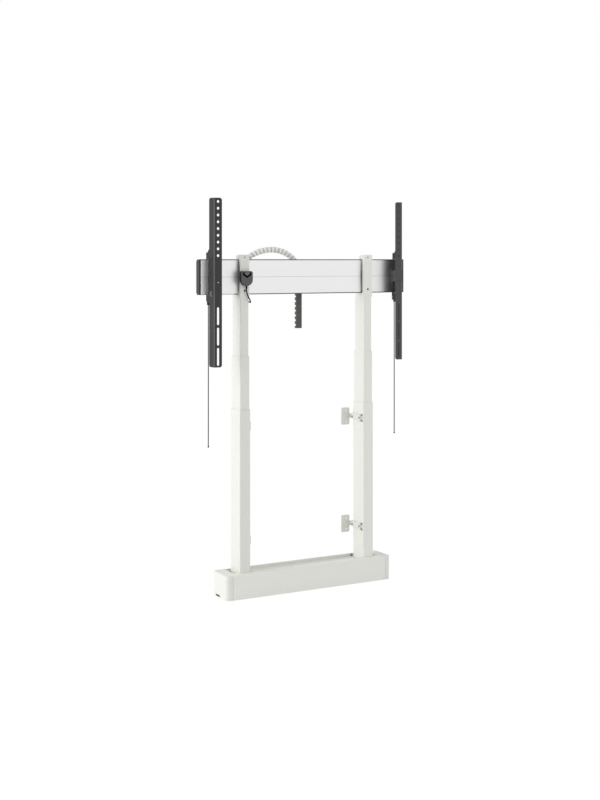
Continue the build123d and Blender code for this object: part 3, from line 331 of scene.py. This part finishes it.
def braid(name, colour):
    # Round braided cord: two sets of strands that cross
    pitch, strand_depth, fuzz_size = 0.0021, 0.0002, 0.0003
    finish = Finish(name)
    along = finish.axis("Z") * (full_turn / pitch)
    around = (finish.axis("X") + finish.axis("Y")) * (full_turn / pitch)
    weave = finish.maths("SINE", along + around) * finish.maths("SINE", along - around) * 0.5 + 0.5
    fuzz = finish.grain(fuzz_size)
    return finish.shade(
        colour=finish.blend(mixed(weave, fuzz, share=0.7), *shades(colour, spread=0.25)),
        rough=0.85,
        bump=finish.relief(weave, strand_depth),
    )


# Finishes of the record's slots, then of single nodes that differ from their slot

finishes = {
    "steel_white": powder_coat("powder_coat_light", (0.81, 0.815, 0.765)),
    "steel_head": powder_coat("powder_coat_head", (0.805, 0.81, 0.76), peel_size=0.0006),
    "frame_steel": powder_coat("powder_coat_frame", (0.79, 0.795, 0.745)),
    "cap_plastic": moulding("end_cap_plastic", (0.83, 0.835, 0.785), rough=0.45, spread=0.02),
    "rubber_black": moulding("pad_rubber", grey(0.03), rough=0.8),
    "box_plastic": moulding("box_plastic", (0.035, 0.035, 0.038), rough=0.55),
    "cast_alu": bare_metal("cast_aluminium", (0.60, 0.60, 0.61), rough=0.5, mark_depth=0.00004),
    "motor_black": powder_coat("motor_enamel", (0.03, 0.03, 0.033), rough=0.3, spread=0.1),
    "screw_steel": bare_metal("oiled_steel", (0.55, 0.55, 0.56), rough=0.25, stretch=(20, 20, 1)),
    "slide_plastic": moulding("glide_plastic", (0.72, 0.71, 0.66), rough=0.35, pit_depth=0.00001),
    "nut_plastic": moulding("nut_plastic", (0.05, 0.05, 0.055), rough=0.35),
    "zinc": bare_metal("zinc_plate", (0.66, 0.67, 0.69), spread=0.1),
    "rail_alu": rail_metal("rail_aluminium"),
    "black_plastic": moulding("black_plastic", (0.016, 0.016, 0.017), rough=0.42),
    "bolt_black": bare_metal("blackened_steel", grey(0.005), rough=0.6),
    # Hose: its second colour is painted shade for the rib valleys
    "hose_plastic": ribbed_plastic("hose_plastic", (0.97, 0.97, 0.94), (0.60, 0.60, 0.57)),
    "duct_plastic": moulding("duct_plastic", (0.072, 0.072, 0.066), rough=0.55),
    "handset_plastic": handset_moulding("handset_plastic", (0.11, 0.11, 0.108), grey(0.003)),
    "button_rubber": moulding("button_rubber", grey(0.002), rough=0.8, spec=0.05),
    "cable_black": moulding("cable_rubber", grey(0.002), pit_size=0.0004, rough=0.8, spec=0.05),
    "strip_black": strip_coat_and_painted_light("strip_coat_and_painted_light"),
    "pad_grey": moulding("pad_grey", grey(0.14), rough=0.7),
    "cord_grey": braid("pull_cord_braid", grey(0.05)),
}
dark_zinc = bare_metal("dark_zinc", (0.26, 0.26, 0.25), rough=0.4, spread=0.1)
# Painted light: the right column's tubes and head take a lighter copy of the white powder coat
right_lit_paint = powder_coat("powder_coat_right_lit", (0.865, 0.87, 0.82))
own_finish = {
    # Painted light: the base's front cover takes a lighter copy of the white powder coat
    "front_cover": powder_coat("powder_coat_cover_lit", (0.88, 0.885, 0.835)),
    "lower_tube_right": right_lit_paint,
    "middle_tube_right": right_lit_paint,
    "upper_tube_right": right_lit_paint,
    "head_bracket_right": right_lit_paint,
    "bracket_screws": dark_zinc,
    "bracket_rods": bare_metal("pale_zinc", (0.88, 0.88, 0.87), rough=0.45),
    "lock_fixings_left": dark_zinc,
    "lock_fixings_right": dark_zinc,
    "head_clamps": clamp_plastic_and_painted_light("clamp_plastic_and_painted_light"),
    "rail_caps": moulding("rail_cap_plastic", grey(0.026)),
    "up_button": moulding("button_grey", grey(0.15), rough=0.6),
    "hose_collars": moulding("collar_plastic", (0.50, 0.50, 0.48), rough=0.4),
}
for entry in frame["record"]["subparts"]:
    for slot in frame["nodes"][entry["node"]].material_slots:
        slot.material = own_finish.get(entry["node"], finishes[entry["material_slot"]])


# Camera, level, at the height and place that the picture's edges give

picture_height, horizon_row, focal_pixels = 800, 259.3, 1337.5
camera = bpy.data.objects.new("camera", bpy.data.cameras.new("camera"))
bpy.context.scene.collection.objects.link(camera)
camera.location = (-2.57515, -4.50721, 1.27243)
camera.rotation_euler = (math.radians(90), 0, math.radians(-29.58))
camera.data.sensor_width = 36
camera.data.lens = focal_pixels * camera.data.sensor_width / picture_height
camera.data.shift_y = -(picture_height / 2 - horizon_row) / picture_height
camera.data.clip_end = 200
bpy.context.scene.camera = camera


def add_piece(name, data, body, slot):
    # A mesh or curve becomes a piece that has a slot's finish and rides on a body
    piece = bpy.data.objects.new(name, data)
    bpy.context.scene.collection.objects.link(piece)
    data.materials.clear()
    data.materials.append(finishes[slot])
    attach(piece, body)
    return piece


def line_data(name, points, kind):
    # A curve with one open spline, which has these points
    data = bpy.data.curves.new(name, "CURVE")
    data.dimensions = "3D"
    spline = data.splines.new(kind)
    spline.points.add(len(points) - 1)
    for target, point in zip(spline.points, points):
        target.co = (*point, 1)
    return data


def cord_piece(name, route, radius, body, slot):
    # Smooth round line that a route's points lead
    data = line_data(name, route, "NURBS")
    data.splines[0].order_u = 3
    data.splines[0].use_endpoint_u = True
    data.resolution_u = 16
    data.bevel_depth = radius
    data.bevel_resolution = 5
    data.use_fill_caps = True
    return add_piece(name, data, body, slot)


def knot_mesh(name, x, y, z):
    # Closed three-lobed knot: rings of points round a middle line that never runs along off_axis
    steps, sides = 72, 12
    lobes, windings, lobe_size, slimness = 3, 2, 0.0013, 0.45
    rise, strand_radius, off_axis = 0.0016, 0.0015, Vector((0.3, 0.2, 1))
    middles = []
    for step in range(steps):
        angle = full_turn * step / steps
        reach = lobe_size * (2 + math.cos(lobes * angle))
        right = reach * math.cos(windings * angle) * slimness
        back = reach * math.sin(windings * angle) * slimness
        middles.append(Vector((x + right, y + back, z + rise * math.sin(lobes * angle))))
    points, faces = [], []
    for step, middle in enumerate(middles):
        along = (middles[(step + 1) % steps] - middles[step - 1]).normalized()
        across = along.cross(off_axis).normalized()
        up = along.cross(across)
        for side in range(sides):
            angle = full_turn * side / sides
            points.append(middle + (across * math.cos(angle) + up * math.sin(angle)) * strand_radius)
            corners = ((step, side), (step, side + 1), (step + 1, side + 1), (step + 1, side))
            faces.append([row % steps * sides + column % sides for row, column in corners])
    mesh = bpy.data.meshes.new(name)
    mesh.from_pydata(points, [], faces)
    skin = bmesh.new()
    skin.from_mesh(mesh)
    bmesh.ops.recalc_face_normals(skin, faces=skin.faces)
    skin.to_mesh(mesh)
    skin.free()
    mesh.shade_smooth()
    return mesh


# Pull cords: straight down from the locks, each with a knot

for side, sign in (("left", -1), ("right", 1)):
    x, y = sign * 0.4143, -0.009
    top, bottom, bow = 1.102, 0.5745, 0.0004
    route = [(x, y, top), (x + bow, y, (top + bottom) / 2), (x, y, bottom)]
    lock, knot_name = f"lock_{side}", f"cord_knot_{side}"
    cord = cord_piece(f"pull_cord_line_{side}", route, radius=0.0019, body=lock, slot="cord_grey")
    knot = add_piece(knot_name, knot_mesh(knot_name, x, y, bottom), body=lock, slot="cord_grey")
    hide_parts(f"pull_cord_{side}")


# Handset cable: out of the boot, round the corner of the head, into the column

cable_route = [
    (-0.2715, -0.0418, 1.159),
    (-0.2715, -0.0418, 1.144),
    (-0.246, -0.0353, 1.107),
    (-0.244, 0.0035, 1.114),
    (-0.2545, 0.0035, 1.114),
]
cable = cord_piece("handset_cable_line", cable_route, radius=0.0023, body="carriage", slot="cable_black")
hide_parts("handset_cable")


# Cable hose: ribs follow its arc over the rail

def hose_line():
    # Middle line of the hose: straight ends, a tight arc beside each, and two wide arcs that meet on top
    hose_y, arc_steps = 0.0265, 20
    start, end, peak = (-0.274, 1.162), (-0.0095, 1.192), (-0.127, 1.3095)
    left, right = math.radians(28.6), math.radians(39.5)
    left_wide, right_wide = 0.190, 0.143
    left_tight = (peak[0] - start[0] - left_wide * math.sin(left)) / (1 - math.sin(left))
    right_tight = (end[0] - peak[0] - right_wide * math.sin(right)) / (1 - math.sin(right))
    rise = left_wide * (1 - math.cos(left)) + left_tight * math.cos(left)
    points = [start, (start[0], peak[1] - rise)]
    upright = full_turn / 4
    arcs = (
        (left_tight, upright - left),
        (left_wide, left),
        (right_wide, right),
        (right_tight, upright - right),
    )
    heading = upright
    for radius, turn in arcs:
        (x, z), first = points[-1], heading
        for step in range(1, arc_steps + 1):
            heading = first - turn * step / arc_steps
            forward = radius * (math.sin(first) - math.sin(heading))
            upward = radius * (math.cos(heading) - math.cos(first))
            points.append((x + forward, z + upward))
    return [(x, hose_y, z) for x, z in [*points, end]]


def corrugation_tree():
    # Geometry nodes: a tube along a line, with even ribs that start and end in a valley
    steepness, half_swing, middle_swell = -2.4, 0.51, 0.5
    given = {
        "Geometry": "Geometry",
        "Crest": "Float",
        "Valley": "Float",
        "Ribs": "Float",
        "Rings per rib": "Float",
        "Sides": "Int",
        "Material": "Material",
    }
    tree = bpy.data.node_groups.new("corrugated_tube", "GeometryNodeTree")
    for name, kind in given.items():
        tree.interface.new_socket(name, in_out="INPUT", socket_type=f"NodeSocket{kind}")
    tree.interface.new_socket("Geometry", in_out="OUTPUT", socket_type="NodeSocketGeometry")
    nodes = Nodes(tree)
    line, crest, valley, ribs, rings, sides, paint = (
        nodes.add("NodeGroupInput", output=name) for name in given
    )
    even = nodes.add("GeometryNodeResampleCurve", None, {"Curve": line, "Count": ribs * rings})
    share = nodes.add("GeometryNodeSplineParameter", output="Factor")
    wave = nodes.maths("COSINE", share * ribs * full_turn)
    swell = nodes.maths("TANH", wave * steepness) * half_swing + middle_swell
    marked = nodes.add(
        "GeometryNodeStoreNamedAttribute",
        {"data_type": "FLOAT", "domain": "POINT"},
        {"Geometry": even, "Name": "swell", "Value": swell},
    )
    ring = nodes.add("GeometryNodeCurvePrimitiveCircle", None, {"Resolution": sides, "Radius": 1})
    radius = valley + swell * (crest - valley)
    skin = {"Curve": marked, "Profile Curve": ring, "Scale": radius, "Fill Caps": True}
    tube = nodes.add("GeometryNodeCurveToMesh", None, skin)
    smooth = nodes.add("GeometryNodeSetShadeSmooth", None, {"Geometry": tube})
    real = nodes.add("GeometryNodeRealizeInstances", None, {"Geometry": smooth})
    painted = nodes.add("GeometryNodeSetMaterial", None, {"Geometry": real, "Material": paint})
    nodes.add("NodeGroupOutput", None, {"Geometry": painted})
    return tree


def grown(name, carrier, tree, values, body, slot):
    # Run a tree on a carrier, keep the plain mesh as a piece, drop the carrier
    bpy.context.scene.collection.objects.link(carrier)
    modifier = carrier.modifiers.new(name, "NODES")
    modifier.node_group = tree
    for item in tree.interface.items_tree:
        if item.in_out == "INPUT" and item.name in values:
            modifier[item.identifier] = values[item.name]
    carrier.update_tag()
    bpy.context.view_layer.update()
    seen = carrier.evaluated_get(bpy.context.evaluated_depsgraph_get())
    mesh = bpy.data.meshes.new_from_object(seen)
    mesh.name = name
    bpy.data.objects.remove(carrier)
    return add_piece(name, mesh, body, slot)


hose_values = {
    "Crest": 0.0122,
    "Valley": 0.0101,
    "Ribs": 26.0,
    "Rings per rib": 12.0,
    "Sides": 40,
    "Material": finishes["hose_plastic"],
}
hose_carrier = bpy.data.objects.new("hose_line", line_data("hose_line", hose_line(), "POLY"))
hose = grown("hose_ribs", hose_carrier, corrugation_tree(), hose_values, "carriage", "hose_plastic")
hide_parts("cable_hose")


# Stage: pale floor that keeps a faint shadow, white surroundings, soft light

shown_rays = ("Camera", "Glossy", "Transmission")
floor_reach, floor_tone, floor_glow, glow_share = 60, 0.9, 1.027, 0.95
world_light, world_white = 0.55, 1.0
corners = [(x * floor_reach, y * floor_reach, 0) for x, y in ((-1, -1), (1, -1), (1, 1), (-1, 1))]
floor = bpy.data.objects.new("floor", bpy.data.meshes.new("floor"))
floor.data.from_pydata(corners, [], [(0, 1, 2, 3)])
bpy.context.scene.collection.objects.link(floor)
pale = bpy.data.materials.new("floor_pale")
pale.use_nodes = True
nodes = Nodes(pale.node_tree)
matt = nodes.add("ShaderNodeBsdfDiffuse", None, {"Color": (*grey(floor_tone), 1)})
glow = nodes.add("ShaderNodeEmission", None, {"Color": (*grey(1), 1), "Strength": floor_glow})
share = nodes.is_ray(shown_rays) * glow_share
both = nodes.add("ShaderNodeMixShader", None, {0: share, 1: matt, 2: glow})
nodes.add("ShaderNodeOutputMaterial", None, {"Surface": both})
floor.data.materials.append(pale)

world = bpy.data.worlds.new("studio")
bpy.context.scene.world = world
world.use_nodes = True
nodes = Nodes(world.node_tree)
lit, white = (
    nodes.add("ShaderNodeBackground", None, {"Color": (*grey(1), 1), "Strength": strength})
    for strength in (world_light, world_white)
)
sky = nodes.add("ShaderNodeMixShader", None, {0: nodes.is_ray(shown_rays), 1: lit, 2: white})
nodes.add("ShaderNodeOutputWorld", None, {"Surface": sky})


def soft_lamp(name, place, aim, size, power):
    # Large area lamp that points at a place
    data = bpy.data.lights.new(name, "AREA")
    data.shape = "RECTANGLE"
    data.size, data.size_y = size
    data.energy = power
    lamp = bpy.data.objects.new(name, data)
    lamp.location = place
    lamp.rotation_euler = (Vector(aim) - Vector(place)).to_track_quat("-Z", "Y").to_euler()
    lamp.visible_glossy = False
    bpy.context.scene.collection.objects.link(lamp)


soft_lamp("lamp_left", place=(-6.3, 1.4, 2.2), aim=(0, 0, 0.9), size=(6.0, 6.0), power=312)
soft_lamp("lamp_front", place=(3.6, -4.8, 1.0), aim=(0, 0, 0.8), size=(9.5, 9.0), power=190)

bpy.context.scene.view_settings.view_transform = "Standard"
